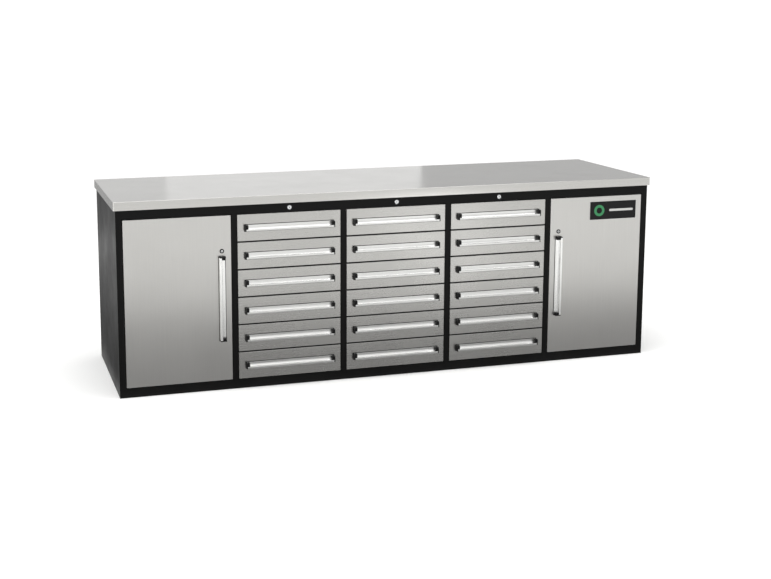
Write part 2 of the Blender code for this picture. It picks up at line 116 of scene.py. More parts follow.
def add(tree, kind, inputs=None, **settings):
    """Adds a node. An input is given as a value or as the output of another node."""
    made = tree.nodes.new(kind)
    for name, value in settings.items():
        setattr(made, name, value)
    for name, value in (inputs or {}).items():
        if isinstance(value, bpy.types.NodeSocket):
            tree.links.new(value, made.inputs[name])
        else:
            made.inputs[name].default_value = value
    return made


def finish(name, sockets):
    """A new material, its node tree and its Principled shader, with plain values set on the shader."""
    material = bpy.data.materials.new(name)
    material.use_nodes = True
    shader = material.node_tree.nodes["Principled BSDF"]
    for socket, value in sockets.items():
        shader.inputs[socket].default_value = value
    material.diffuse_color = shader.inputs["Base Color"].default_value
    return material, material.node_tree, shader


def feed(shader, socket, value):
    """Lets another node's output set one of the shader's sockets."""
    shader.id_data.links.new(value, shader.inputs[socket])


def pattern(tree, scale, detail, size=(1.0, 1.0, 1.0)):
    """Noise on the piece's own coordinates, in cycles a metre, squeezed by size along each axis."""
    place = add(tree, "ShaderNodeTexCoord")
    stretched = add(tree, "ShaderNodeMapping", {"Vector": place.outputs["Object"], "Scale": size})
    return add(
        tree, "ShaderNodeTexNoise",
        {"Vector": stretched.outputs["Vector"], "Scale": scale, "Detail": detail, "Roughness": 0.6},
    ).outputs["Fac"]


def spread(tree, value, low, high, start=0.3, end=0.7):
    """Stretches the middle of a noise, from start to end, over the range from low to high."""
    return add(
        tree, "ShaderNodeMapRange",
        {"Value": value, "From Min": start, "From Max": end, "To Min": low, "To Max": high},
    ).outputs["Result"]


def blend(tree, factor, first, second):
    """A colour between two hex colours."""
    made = add(tree, "ShaderNodeMix", {0: factor, 6: srgb(first), 7: srgb(second)}, data_type="RGBA")
    return made.outputs[2]


def dent(tree, shader, height, strength, depth):
    """Bumps the shader's normal by a height, where depth is the real one in metres."""
    bump = add(tree, "ShaderNodeBump", {"Height": height, "Strength": strength, "Distance": depth})
    feed(shader, "Normal", bump.outputs["Normal"])


# %% [markdown]
# ## Brushed stainless steel
#
# The worktop, the drawer fronts and the doors are 304 stainless sheet with a No. 4 finish: an abrasive belt
# has run along the sheet and left fine parallel scratches. The eye gets a cool grey metal whose reflections
# smear across the grain. Real scratches are about 0.05 mm apart, too fine to show here, so they are drawn
# 1.5 mm apart and very shallow. Slow patches in the roughness stand for the uneven pressure of the belt and
# for handling. On the drawer fronts the scratches also stretch every highlight across the grain, which is
# what anisotropy does. The sheet of a door is turned, so its grain runs upright, and the worktop is worn
# smoother by use. Though all three are the same sheet, the doors and the worktop get lighter greys than the
# drawer fronts: that is painted light, lit copies of one steel.


# %% Brushed stainless
SCRATCH_SHINE = 0.012
PATCH_SHINE = 0.02
QUARTER_TURN = 0.25


def grain(along, with_grain, across):
    """Cycles a metre along each axis, few along the grain and many across it."""
    return tuple(with_grain if axis == along else across for axis in "xyz")


def brushed_stainless(name, along, colours, dull, stretch=0.0):
    """Steel with its grain along an axis, of two greys, around a roughness and with stretched highlights."""
    material, tree, shader = finish(
        name,
        {"Base Color": srgb(colours[0]), "Metallic": 1.0, "Roughness": dull, "Anisotropic": stretch,
         "Anisotropic Rotation": QUARTER_TURN if stretch else 0.0},
    )
    scratches = pattern(tree, 1.0, 3.0, grain(along, 5.0, 650.0))
    patches = pattern(tree, 3.5, 2.0)
    roughness = add(
        tree, "ShaderNodeMath",
        {0: spread(tree, scratches, -SCRATCH_SHINE, SCRATCH_SHINE),
         1: spread(tree, patches, dull - PATCH_SHINE, dull + PATCH_SHINE)},
        operation="ADD",
    )
    feed(shader, "Roughness", roughness.outputs["Value"])
    feed(shader, "Base Color", blend(tree, spread(tree, scratches, 0.0, 1.0), *colours))
    dent(tree, shader, scratches, 0.006, 0.0004)
    return material


# One steel in three copies: the lighter greys of the door and worktop copies are painted light.
STAINLESS = brushed_stainless("stainless_no4_brushed", "x", ("#b5b4b1", "#b9b8b5"), 0.27, 0.5)
LIT_STAINLESS_UPRIGHT = brushed_stainless("stainless_no4_brushed_upright_lit", "z", ("#c1c0bd", "#c6c5c2"), 0.31)
LIT_STAINLESS_TOP = brushed_stainless("stainless_no4_worktop_lit", "x", ("#bcbbb8", "#c2c1be"), 0.2)
print("made", STAINLESS.name, "for fronts,", LIT_STAINLESS_UPRIGHT.name, "for doors and", LIT_STAINLESS_TOP.name)

# %% [markdown]
# ## Black powder coat
#
# The body, the dividers and the drawer trays are mild steel with a baked polyester powder coat. The powder
# melts and flows but never quite levels, which leaves an orange peel some 2 mm across. The eye gets a deep
# black with a soft satin gloss that breaks up a little in every reflection.

# %% Black powder coat
POWDER, tree, shader = finish(
    "black_polyester_powder_coat",
    {"Base Color": srgb("#0b0b0b"), "Metallic": 0.0, "Roughness": 0.4, "Specular IOR Level": 0.12},
)
peel = pattern(tree, 420.0, 2.0)
wear = pattern(tree, 6.0, 3.0)
feed(shader, "Roughness", spread(tree, wear, 0.36, 0.46))
feed(shader, "Base Color", blend(tree, spread(tree, wear, 0.0, 1.0), "#090909", "#0d0d0c"))
dent(tree, shader, peel, 0.12, 0.0004)
print("made", POWDER.name)

# %% [markdown]
# ## Satin anodised aluminium
#
# The pulls are extruded, lightly etched and clear anodised. The die leaves straight fine lines along the
# whole length, and the etch makes the metal pale and even. The lines are about 0.1 mm apart on the real one
# and are drawn 1.2 mm apart so that they show. A pull on a door stands upright, so its lines do too. Its
# copy also gets a much lighter grey than a drawer's pull, though it is the same extrusion: painted light.


# %% Anodised aluminium
def anodised(name, along, colours):
    material, tree, shader = finish(
        name, {"Base Color": srgb(colours[0]), "Metallic": 1.0, "Roughness": 0.3}
    )
    die_lines = pattern(tree, 1.0, 2.0, grain(along, 4.0, 850.0))
    feed(shader, "Roughness", spread(tree, die_lines, 0.25, 0.36))
    feed(shader, "Base Color", blend(tree, die_lines, *colours))
    dent(tree, shader, die_lines, 0.05, 0.0003)
    return material


ALUMINIUM = anodised("aluminium_satin_anodised", "x", ("#d3d3d1", "#dddddb"))
# The door pulls' copy is lighter than the drawer pulls': painted light on the same extrusion.
LIT_ALUMINIUM_UPRIGHT = anodised("aluminium_satin_anodised_upright_lit", "z", ("#f0f0ee", "#f7f7f5"))
print("made", ALUMINIUM.name, "and", LIT_ALUMINIUM_UPRIGHT.name)

# %% [markdown]
# ## Chrome, zinc, moulded plastic, rubber and enamel
#
# The lock faces are zinc castings with bright chrome plate, the smoothest surface on the bench. Slides, bars
# and screws are zinc plated steel: bluish, duller and cloudy, with crystals a few millimetres across. The
# caps on the pulls are ABS, moulded in black in a spark-eroded tool, which gives a dull fine grain of about
# 0.4 mm. The same black makes the thin strips round the pulls and under the drawer fronts, which are
# painted shade. The mat in a drawer is dusty black rubber. The nameplate is lacquered and screen printed.

# %% Small finishes
CHROME, tree, shader = finish(
    "chrome_plate_bright", {"Base Color": srgb("#d9dbdc"), "Metallic": 1.0, "Roughness": 0.1}
)
feed(shader, "Roughness", spread(tree, pattern(tree, 90.0, 2.0), 0.07, 0.16))

ZINC, tree, shader = finish(
    "zinc_plate_passivated", {"Base Color": srgb("#b4babd"), "Metallic": 1.0, "Roughness": 0.38}
)
clouds = pattern(tree, 180.0, 3.0)
feed(shader, "Roughness", spread(tree, clouds, 0.28, 0.46))
cloudy = blend(tree, spread(tree, clouds, 0.0, 1.0), "#a9b1b6", "#c0c4c4")
feed(shader, "Base Color", cloudy)

ABS, tree, shader = finish(
    "abs_moulded_black", {"Base Color": srgb("#0a0a0b"), "Roughness": 0.45, "Specular IOR Level": 0.2}
)
spark = pattern(tree, 2500.0, 1.0)
feed(shader, "Roughness", spread(tree, spark, 0.4, 0.52))
dent(tree, shader, spark, 0.15, 0.0001)

RUBBER, tree, shader = finish(
    "epdm_rubber_black", {"Base Color": srgb("#1d1d1e"), "Roughness": 0.8, "Specular IOR Level": 0.3}
)
dust = pattern(tree, 22.0, 4.0)
feed(shader, "Base Color", blend(tree, spread(tree, dust, 0.0, 1.0), "#19191a", "#262627"))
feed(shader, "Roughness", spread(tree, dust, 0.72, 0.9))


def printed(name, colour, other, roughness):
    """A lacquer or screen ink. The mesh of the screen, about 0.3 mm, shows as a faint grain."""
    material, tree, shader = finish(
        name, {"Base Color": srgb(colour), "Roughness": roughness, "Specular IOR Level": 0.2}
    )
    weave = pattern(tree, 1500.0, 1.0)
    feed(shader, "Base Color", blend(tree, weave, colour, other))
    feed(shader, "Roughness", spread(tree, weave, roughness - 0.04, roughness + 0.04))
    return material


LACQUER = printed("lacquer_black", "#0c0c0d", "#111112", 0.4)
GREEN_INK = printed("screen_ink_green", "#35774e", "#3f8a5b", 0.4)
PALE_INK = printed("screen_ink_pale_grey", "#b9b9b7", "#c6c6c4", 0.42)
print("made", [m.name for m in (CHROME, ZINC, ABS, RUBBER, LACQUER, GREEN_INK, PALE_INK)])

# %% [markdown]

# %% [markdown]
# ## Shaping tools
#
# Nearly every part of this bench is folded sheet, so the main tool is an open box: a cube with one side gone
# and its folds rounded, which a Solidify modifier then gives the gauge of the sheet. Turned parts are a chain
# of edges spun about an axis, and extrusions are a section drawn with a pen and pulled. The finished mesh is
# already in its place, so the object itself stays at the origin.

# %% Shaping helpers
SIDES = {
    "-X": (-1, 0, 0), "+X": (1, 0, 0), "-Y": (0, -1, 0), "+Y": (0, 1, 0), "-Z": (0, 0, -1), "+Z": (0, 0, 1),
}
CORNER_ANGLE = 0.6
PARALLEL = 0.99
STAND_UP = Matrix.Rotation(math.radians(90), 4, "X")


def block(low, high):
    """A box between two corners."""
    low, high = Vector(low), Vector(high)
    shape = bmesh.new()
    bmesh.ops.create_cube(shape, size=1.0)
    bmesh.ops.scale(shape, vec=high - low, verts=shape.verts)
    bmesh.ops.translate(shape, vec=(low + high) / 2, verts=shape.verts)
    return shape


def rounded(shape, radius, segments=3, along=None):
    """Rounds the edges where two faces meet at an angle; along keeps to edges that lie along one axis."""
    chosen = []
    for edge in shape.edges:
        turns = len(edge.link_faces) == 2 and edge.calc_face_angle() > CORNER_ANGLE
        line = (edge.verts[1].co - edge.verts[0].co).normalized()
        if turns and (along is None or abs(line.dot(Vector(SIDES[along]))) > PARALLEL):
            chosen.append(edge)
    bmesh.ops.bevel(
        shape, geom=chosen, offset=radius, segments=segments, profile=0.5, affect="EDGES", material=-1
    )
    return shape


def open_box(low, high, missing, radius):
    """A box with some of its sides gone and its folds rounded: the outside of a folded sheet."""
    shape = block(low, high)
    gone = [f for f in shape.faces if any(f.normal.dot(Vector(SIDES[side])) > PARALLEL for side in missing)]
    bmesh.ops.delete(shape, geom=gone, context="FACES_ONLY")
    bmesh.ops.delete(shape, geom=[e for e in shape.edges if not e.link_faces], context="EDGES")
    return rounded(shape, radius)


def together(*shapes):
    """Several shapes as one."""
    whole = bmesh.new()
    for shape in shapes:
        mesh = bpy.data.meshes.new("joining")
        shape.to_mesh(mesh)
        shape.free()
        whole.from_mesh(mesh)
        bpy.data.meshes.remove(mesh)
    return whole


def moved(shape, place):
    """The shape moved by a vector or changed by a matrix."""
    matrix = place if isinstance(place, Matrix) else Matrix.Translation(place)
    bmesh.ops.transform(shape, matrix=matrix, verts=shape.verts)
    return shape


def line_to(shape, start, point):
    """Draws an edge from a vertex to a point."""
    end = shape.verts.new(point)
    shape.edges.new((start, end))
    return end


def vertices(made):
    """The vertices among what an operator made."""
    return [part for part in made if isinstance(part, bmesh.types.BMVert)]


def turned(profile, steps=28):
    """A round part about the y axis, from the (radius, y) points of its profile."""
    shape = bmesh.new()
    last = shape.verts.new((profile[0][0], profile[0][1], 0))
    for radius, y in profile[1:]:
        last = line_to(shape, last, (radius, y, 0))
    bmesh.ops.spin(
        shape, geom=[*shape.verts, *shape.edges], cent=(0, 0, 0), axis=(0, 1, 0), angle=math.tau,
        steps=steps, use_merge=True,
    )
    bmesh.ops.remove_doubles(shape, verts=shape.verts, dist=1e-6)
    bmesh.ops.recalc_face_normals(shape, faces=shape.faces)
    return shape


def sheet_strip(points, start_y, end_y):
    """A bent strip: a line in the (x, z) plane, pulled along y."""
    shape = bmesh.new()
    last = shape.verts.new((points[0][0], start_y, points[0][1]))
    for x, z in points[1:]:
        last = line_to(shape, last, (x, start_y, z))
    made = bmesh.ops.extrude_edge_only(shape, edges=shape.edges)["geom"]
    bmesh.ops.translate(shape, vec=(0, end_y - start_y, 0), verts=vertices(made))
    bmesh.ops.recalc_face_normals(shape, faces=shape.faces)
    return shape


# %% Piece helpers
SHARP_ANGLE = math.radians(38)


def mesh_of(shape, material):
    """A mesh from a shape, shaded smooth but for its real corners."""
    mesh = bpy.data.meshes.new("piece")
    shape.to_mesh(mesh)
    shape.free()
    mesh.materials.append(material)
    mesh.shade_smooth()
    mesh.set_sharp_from_angle(angle=SHARP_ANGLE)
    return mesh


def piece(name, mesh, body, at=(0, 0, 0), wall=0.0, centred=False, stands_for=()):
    """Puts a copy of a mesh in its place as a finished piece that rides on a body."""
    mesh = mesh.copy()
    mesh.transform(at if isinstance(at, Matrix) else Matrix.Translation(at))
    made = bpy.data.objects.new(name, mesh)
    SCENE.collection.objects.link(made)
    if wall:
        gauge = made.modifiers.new("gauge", "SOLIDIFY")
        gauge.thickness = wall
        gauge.offset = 0.0 if centred else -1.0
        gauge.use_even_offset = True
    flat = made.modifiers.new("flat faces stay flat", "WEIGHTED_NORMAL")
    flat.keep_sharp = True
    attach(made, body)
    if stands_for:
        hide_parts(*stands_for)
    return made


def mirrored(side):
    """A mirror in x for side -1, nothing for +1."""
    return Matrix.Diagonal((side, 1, 1, 1))


def many(mesh, places):
    """One shape with the mesh at each place, given as vectors or matrices."""
    whole = bmesh.new()
    for place in places:
        copy = mesh.copy()
        copy.transform(place if isinstance(place, Matrix) else Matrix.Translation(place))
        whole.from_mesh(copy)
        bpy.data.meshes.remove(copy)
    return whole


# %% [markdown]
# ## The camera
#
# The bench is seen from a little to its left and from above the top, from about six metres away, as a
# product is seen standing up across a room. The frame lies off the axis of the lens, as when part of a wider
# view is kept, and the camera's shift says by how much.

# %% Camera
eye = bpy.data.cameras.new("eye")
eye.sensor_width = 36.0
eye.lens = 58.952
eye.shift_x = 0.10376
eye.shift_y = -0.11673
camera = bpy.data.objects.new("camera", eye)
right = Vector((0.963183, -0.268810, -0.004481))
up = Vector((0.046659, 0.150728, 0.987474))
ahead = Vector((0.264768, 0.951327, -0.157721))
turn = Matrix((right, up, -ahead)).transposed().to_4x4()
camera.matrix_world = Matrix.Translation((-2.13391, -6.33597, 1.92479)) @ turn
SCENE.collection.objects.link(camera)
SCENE.camera = camera
print("camera at", [round(v, 2) for v in camera.matrix_world.translation])

# %% [markdown]
# ## The black body
#
# The front frame is one sheet with five openings. Its rim and the edge of each opening are folded back
# 20 mm, which makes the thin sheet stiff and gives the fronts something to sit in. It starts as a flat grid
# face that is cut along the edges of the openings. The faces in the openings are deleted, the free edges are
# pulled back, and the new corners are rounded as a brake would leave them.

# %% Front frame
low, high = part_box("face_frame")
shape = bmesh.new()
bmesh.ops.create_grid(shape, x_segments=1, y_segments=1, size=0.5)
bmesh.ops.rotate(shape, matrix=Matrix.Rotation(math.radians(90), 3, "X"), verts=shape.verts)
bmesh.ops.scale(shape, vec=(high.x - low.x, 1, high.z - low.z), verts=shape.verts)
bmesh.ops.translate(shape, vec=(0, FRONT, (low.z + high.z) / 2), verts=shape.verts)
cuts = [((x + side * OPENING_HALF, 0, 0), (1, 0, 0)) for x in BAY_X for side in (-1, 1)]
cuts += [((0, 0, z), (0, 0, 1)) for z in (OPENING_LOW, OPENING_HIGH)]
for point, normal in cuts:
    everything = [*shape.verts, *shape.edges, *shape.faces]
    bmesh.ops.bisect_plane(shape, geom=everything, plane_co=point, plane_no=normal)
openings = [
    face for face in shape.faces
    if OPENING_LOW < face.calc_center_median().z < OPENING_HIGH
    and any(abs(face.calc_center_median().x - x) < OPENING_HALF for x in BAY_X)
]
bmesh.ops.delete(shape, geom=openings, context="FACES")
rim = [edge for edge in shape.edges if edge.is_boundary]
made = bmesh.ops.extrude_edge_only(shape, edges=rim)["geom"]
bmesh.ops.translate(shape, vec=(0, FRAME_RETURN, 0), verts=vertices(made))
bmesh.ops.recalc_face_normals(shape, faces=shape.faces)
front_face = max(shape.faces, key=lambda face: abs(face.normal.y) * face.calc_area())
if front_face.normal.y > 0:
    bmesh.ops.reverse_faces(shape, faces=shape.faces)
piece("front_frame", mesh_of(rounded(shape, BODY_BEND), POWDER), "cabinet",
      wall=BODY_SHEET, stands_for=["face_frame"])
print("front frame with", len(openings), "openings")

# %% [markdown]
# ## Dividers and slides
#
# A hollow folded divider stands behind each upright of the frame. The drawers run on ball slides: a fixed
# channel on the divider, a moving channel on the tray, and a cage of steel balls between them. The channels
# are rolled from zinc plated strip, so each is a bent line pulled along its length. The cage sits where the
# two channels overlap both when the drawer is shut and when it is open.

# %% Dividers
CLEAR = 0.0003
END_DIVIDER = 0.012
DIVIDER_FOOT = 0.045
inset = FRAME_RETURN + CLEAR
for number in (1, 2, 3, 4):
    left_edge = BAY_X[number - 1] + OPENING_HALF
    right_edge = BAY_X[number] - OPENING_HALF
    low_x = right_edge - END_DIVIDER if number == 1 else left_edge
    high_x = left_edge + END_DIVIDER if number == 4 else right_edge
    shell = open_box((low_x, FRONT + inset, DIVIDER_FOOT + CLEAR), (high_x, BACK - inset, BODY_TOP),
                     ["+Y"], BODY_BEND)
    piece(f"divider_shell_{number}", mesh_of(shell, POWDER), "cabinet",
          wall=BODY_SHEET, stands_for=[f"divider_{number}"])
print("four dividers")

# %% Fixed slides, ball cages and screws
SLIDE_Z = 0.064
SLIDE_START, FIXED_END, MOVING_END = 0.022, 0.702, 0.692
STRIP = 0.0012
BALLS, BALL_RADIUS, BALL_PITCH = 15, 0.0019, 0.0135
CAGE_START, CAGE_OUT, CAGE_UP = 0.040, 0.0064, 0.0174
SCREW_YS, SCREW_OUT = (0.060, 0.360, 0.660), 0.0013
HEAD_RADIUS, HEAD_HEIGHT = 0.0034, 0.0016
FIXED = [(0.0108, 0.0158), (0.0112, 0.0180), (0.0100, 0.0198), (0.0074, 0.0202), (0.0034, 0.0198),
         (0.0016, 0.0206), (0.0007, 0.0196)]
fixed_points = FIXED + [(x, -z) for x, z in reversed(FIXED)]
rail = mesh_of(sheet_strip(fixed_points, SLIDE_START, FIXED_END), ZINC)
ball = bmesh.new()
bmesh.ops.create_uvsphere(ball, u_segments=8, v_segments=5, radius=BALL_RADIUS)
ball_mesh = mesh_of(ball, ZINC)
HEAD = [(0, 0), (1, 0), (1, 0.4), (0.8, 0.85), (0.3, 1), (0.22, 0.45), (0, 0.4)]
screw = mesh_of(turned([(HEAD_RADIUS * out, -HEAD_HEIGHT * up) for out, up in HEAD], 12), ZINC)
for bank in BANKS:
    rails, balls, screws = [], [], []
    for row in ROWS:
        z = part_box(f"drawer_{bank}_{row}")[0].z + SLIDE_Z
        for side in (-1, 1):
            face = BANK_X[bank - 1] - side * OPENING_HALF
            rails.append(Matrix.Translation((face, FRONT, z)) @ mirrored(side))
            for edge in (-1, 1):
                balls += [Vector((face + side * CAGE_OUT, FRONT + CAGE_START + BALL_PITCH * number,
                                  z + edge * CAGE_UP)) for number in range(BALLS)]
            look = Matrix.Rotation(side * math.pi / 2, 4, "Z")
            screws += [Matrix.Translation((face + side * SCREW_OUT, FRONT + y, z)) @ look for y in SCREW_YS]
    piece(f"fixed_slides_{bank}", mesh_of(many(rail, rails), ZINC), "cabinet", wall=STRIP, centred=True)
    piece(f"slide_balls_{bank}", mesh_of(many(ball_mesh, balls), ZINC), "cabinet")
    piece(f"slide_screws_{bank}", mesh_of(many(screw, screws), ZINC), "cabinet")
print("slides, balls and screws on", len(BANKS), "banks")

# %% [markdown]
# ## Cupboards, back and sides
#
# The side panels, the floor, the back, the shelves and the lock bars are plain enough that the solids serve,
# so they only get their finish. Each shelf rests on an angle cleat. The back sheet gets pressed beads, which
# keep a long thin panel from drumming, and rows of blind rivets where it meets the dividers and the rim.

# %% Painted solids
POWDERED = ("side_panel_left", "side_panel_right", "base_pan", "back_panel", "shelf_left", "shelf_right")
PLATED = ("lock_bar_1", "lock_bar_2", "lock_bar_3")
for names, coat in ((POWDERED, POWDER), (PLATED, ZINC)):
    for name in names:
        SOLIDS[name].data.materials.clear()
        SOLIDS[name].data.materials.append(coat)
UPRIGHT = 0.028
CLEAT = 0.014
cleats = []
for (end, side), bay in zip(ENDS, (BAY_X[0], BAY_X[-1])):
    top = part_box(f"shelf_{end}")[0].z - CLEAR
    wall_x = bay - side * (OPENING_HALF + UPRIGHT - END_DIVIDER)
    x0, x1 = sorted((wall_x, wall_x + side * CLEAT))
    missing = ["-Z", "+X" if side > 0 else "-X", "-Y", "+Y"]
    cleats.append(open_box((x0, FRONT + 0.080, top - CLEAT), (x1, BACK - 0.070, top), missing, BODY_BEND))
piece("divider_cleats", mesh_of(together(*cleats), POWDER), "cabinet", wall=BODY_SHEET)
print("painted solids and cleats")

# %% Beads and rivets on the back
BEAD_SPREAD, BEAD_HALF, BEAD_HEIGHT = 0.13, 0.013, 0.0022
BEAD_FOOT, BEAD_TOP = 0.12, 0.81
COLUMN_RIVETS, RIVET_FOOT, RIVET_PITCH = 9, 0.03, 0.1075
DIVIDER_COLUMN, RIM_COLUMN = 0.2805, 0.289
rivet = turned([(0, 0), (0.0036, 0), (0.0034, 0.0006), (0.0022, 0.0012), (0.0009, 0.0014), (0.0008, 0.0009),
                (0, 0.0009)], 12)
rivet_mesh = mesh_of(rivet, ZINC)
beads, rivets = [], []
for x in BAY_X:
    for offset in (-BEAD_SPREAD, BEAD_SPREAD):
        bead = rounded(block((x + offset - BEAD_HALF, BACK - 0.0002, BEAD_FOOT),
                             (x + offset + BEAD_HALF, BACK + BEAD_HEIGHT, BEAD_TOP)), 0.0125, 6, "+Y")
        crest = [e for e in bead.edges if all(abs(v.co.y - BACK - BEAD_HEIGHT) < 1e-5 for v in e.verts)]
        bmesh.ops.bevel(bead, geom=crest, offset=0.0018, segments=3, profile=0.5, affect="EDGES",
                        material=-1)
        beads.append(bead)
columns = [x + DIVIDER_COLUMN for x in BAY_X[:-1]] + [BAY_X[0] - RIM_COLUMN, BAY_X[-1] + RIM_COLUMN]
for x in columns:
    rivets += [Vector((x, BACK, RIVET_FOOT + RIVET_PITCH * number)) for number in range(COLUMN_RIVETS)]
for x in BAY_X:
    rivets += [Vector((x + dx, BACK, z)) for dx in (-0.14, 0.0, 0.14) for z in (0.016, 0.904)]
piece("back_beads", mesh_of(together(*beads), POWDER), "cabinet")
piece("back_rivets", mesh_of(many(rivet_mesh, rivets), ZINC), "cabinet")
print(len(beads), "beads and", len(rivets), "rivets")

# %% [markdown]
# ## The worktop
#
# The top is a pan of 1.5 mm stainless, folded down 42 mm all round, with its corners welded and ground
# smooth. The welded corners are rounder than the folds, because a sharp corner on a bench catches hips and
# sleeves. Channels glued below keep the pan from sounding hollow.

# %% Worktop
WELDED_CORNER = 0.0045
TOP_FOLD = 0.0018
CHANNEL_HALF = 0.030
CHANNEL_INSET = 0.075
low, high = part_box("worktop")
pan = block(low, high)
underside = min(pan.faces, key=lambda face: face.calc_center_median().z)
bmesh.ops.delete(pan, geom=[underside], context="FACES_ONLY")
pan = rounded(rounded(pan, WELDED_CORNER, along="+Z"), TOP_FOLD)
piece("worktop_pan", mesh_of(pan, LIT_STAINLESS_TOP), "cabinet",
      wall=BODY_SHEET, stands_for=["worktop"])
channels = [
    open_box((low.x + 0.015, y - CHANNEL_HALF, low.z + 0.0005),
             (high.x - 0.015, y + CHANNEL_HALF, high.z - 0.0018), ["+Z", "-X", "+X"], 0.003)
    for y in (FRONT + CHANNEL_INSET, (FRONT + BACK) / 2, BACK - CHANNEL_INSET)
]
piece("worktop_channels", mesh_of(together(*channels), ZINC), "cabinet", wall=BODY_SHEET)
print("worktop", [round(v, 3) for v in high - low])

# %% [markdown]
# ## Drawers
#
# A drawer is a stainless front, a folded steel tray behind it, two moving slide channels on the tray's sides
# and a bent catch at the back that the lock bar hooks. The tray's rim is folded over into a hem, so that no
# raw edge is left to cut a hand, and a ribbed rubber mat lies in it. A black strip under each front but the
# lowest is painted shade: it fills the gap to the next front so that the gap looks black, as shade does. All
# eighteen drawers are alike, so each mesh is made once, in the drawer's own frame, and copied into place.

# %% Drawer parts
HEM_HALF, HEM_ROUND = 0.0018, 0.0014
HEM_FOOT, HEM_TOP = 0.1100, 0.1199
HEM_BACK = 0.7192
front = open_box((-FRONT_HALF, 0, 0), (FRONT_HALF, PANEL_DEPTH, DRAWER_HEIGHT), ["+Y"], PANEL_BEND)
front_mesh = mesh_of(front, STAINLESS)
tray = open_box((-TRAY_HALF, 0.0022, 0.008), (TRAY_HALF, 0.7194, 0.1194), ["+Z"], 0.003)
tray_mesh = mesh_of(tray, POWDER)
hems = [rounded(block((side * TRAY_HALF - HEM_HALF - side * HEM_HALF, 0.0205, HEM_FOOT),
                      (side * TRAY_HALF + HEM_HALF - side * HEM_HALF, HEM_BACK, HEM_TOP)), HEM_ROUND,
                along="+Y")
        for side in (-1, 1)]
hems.append(rounded(block((-TRAY_HALF + 2 * HEM_HALF, 0.7158, HEM_FOOT),
                          (TRAY_HALF - 2 * HEM_HALF, HEM_BACK, HEM_TOP)), HEM_ROUND, along="+X"))
hem_mesh = mesh_of(together(*hems), POWDER)
MOVING = [(0.0100, 0.0108), (0.0102, 0.0128), (0.0090, 0.0142), (0.0064, 0.0137), (0.0036, 0.0143),
          (0.0016, 0.0140), (0.0009, 0.0126)]
moving_points = [(TRAY_HALF + x, z + SLIDE_Z) for x, z in MOVING]
moving_points += [(TRAY_HALF + x, SLIDE_Z - z) for x, z in reversed(MOVING)]
runner = mesh_of(sheet_strip(moving_points, SLIDE_START, MOVING_END), ZINC)
runner_pair = mesh_of(many(runner, [mirrored(1), mirrored(-1)]), ZINC)
CATCH_SHEET = 0.0018
SWAP_X_Y = Matrix(((0, 1, 0, 0), (1, 0, 0, 0), (0, 0, 1, 0), (0, 0, 0, 1)))
catch = sheet_strip([(0.7188, 0.112), (0.7188, 0.0990), (0.7350, 0.0990), (0.7350, 0.0860)], -0.015, 0.015)
catch_mesh = mesh_of(moved(catch, SWAP_X_Y), ZINC)
# A black strip under the front: painted shade that fills the gap to the front below.
gap_shade_strip = block((-FRONT_HALF + 0.0005, -0.0008, -0.0038), (FRONT_HALF - 0.0005, 0.0130, 0.0030))
gap_shade_mesh = mesh_of(rounded(gap_shade_strip, 0.0006, 2), ABS)
print("drawer parts made")

# %% [markdown]
# The mat is a strip of rubber with ribs every 8 mm. It is a grid with one strip of faces for each rib and
# each groove: every second strip is lifted, which is the same as rolling ribs into a flat sheet.

# %% Drawer mat
RIB = 0.004
MAT_SHEET = 0.0012
MAT_HALF = TRAY_HALF - 0.006
ribs = int(MAT_HALF / RIB)
mat = bmesh.new()
bmesh.ops.create_grid(mat, x_segments=2 * ribs, y_segments=1, size=0.5)
bmesh.ops.scale(mat, vec=(2 * MAT_HALF, 0.690, 1), verts=mat.verts)
bmesh.ops.translate(mat, vec=(0, 0.366, 0.0112), verts=mat.verts)
raised = sorted(mat.faces, key=lambda face: face.calc_center_median().x)[::2]
bmesh.ops.inset_individual(mat, faces=raised, thickness=0.0007, depth=0.0012)
mat_mesh = mesh_of(mat, RUBBER)
print("mat with", ribs, "ribs")

# %% Set out the drawers
for bank, row in DRAWERS:
    name = f"{bank}_{row}"
    body = f"drawer_{name}"
    at = Vector((BANK_X[bank - 1], FRONT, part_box(body)[0].z))
    piece(f"drawer_front_{name}", front_mesh, body, at, PANEL_SHEET, stands_for=[body])
    piece(f"drawer_tray_{name}", tray_mesh, body, at, PANEL_SHEET)
    piece(f"drawer_hem_{name}", hem_mesh, body, at)
    piece(f"drawer_runners_{name}", runner_pair, body, at, STRIP, centred=True)
    piece(f"drawer_catch_{name}", catch_mesh, body, at, CATCH_SHEET, centred=True)
    piece(f"drawer_mat_{name}", mat_mesh, body, at, MAT_SHEET)
    # Every front but the lowest gets the black strip of painted shade in the gap below it.
    if row != ROWS[-1]:
        piece(f"drawer_trim_{name}", gap_shade_mesh, body, at)
print("drawers set out:", len(DRAWERS))

# %% [markdown]
# ## Pulls
#
# The pulls are cut from one aluminium extrusion. A flat back is screwed to the panel from inside. A scoop
# curves forward from it and ends in an upright lip, and fingers drop in from above and hook behind the lip.
# The section is drawn with a pen in the (y, z) plane: straight runs are edges, and the scoop's two curves
# are a point spun about the scoop's centre. The closed outline becomes a face, which is pulled to length.

# %% Pull section
HALF = 0.0155
REACH = 0.024
CONTACT = -0.0003
PLATE_FACE = -0.0023
SCOOP = (-0.0173, 0.0065)
DRAWER_PULL, DOOR_PULL = 0.448, 0.415


def arc_to(shape, start, centre, degrees, steps):
    """Spins a vertex about a centre in the (y, z) plane and leaves the edges of the arc."""
    made = bmesh.ops.spin(shape, geom=[start], cent=centre, axis=(1, 0, 0), angle=math.radians(degrees),
                          steps=steps)
    return made["geom_last"][0]


def drawn(start, *strokes):
    """A closed outline. A stroke is a (y, z) point to go to, or a centre with degrees and steps to swing."""
    outline = bmesh.new()
    first = tip = outline.verts.new((0, *start))
    for y, z, *swing in strokes:
        if swing:
            tip = arc_to(outline, tip, (0, y, z), *swing)
        else:
            tip = line_to(outline, tip, (0, y, z))
    outline.edges.new((tip, first))
    return outline


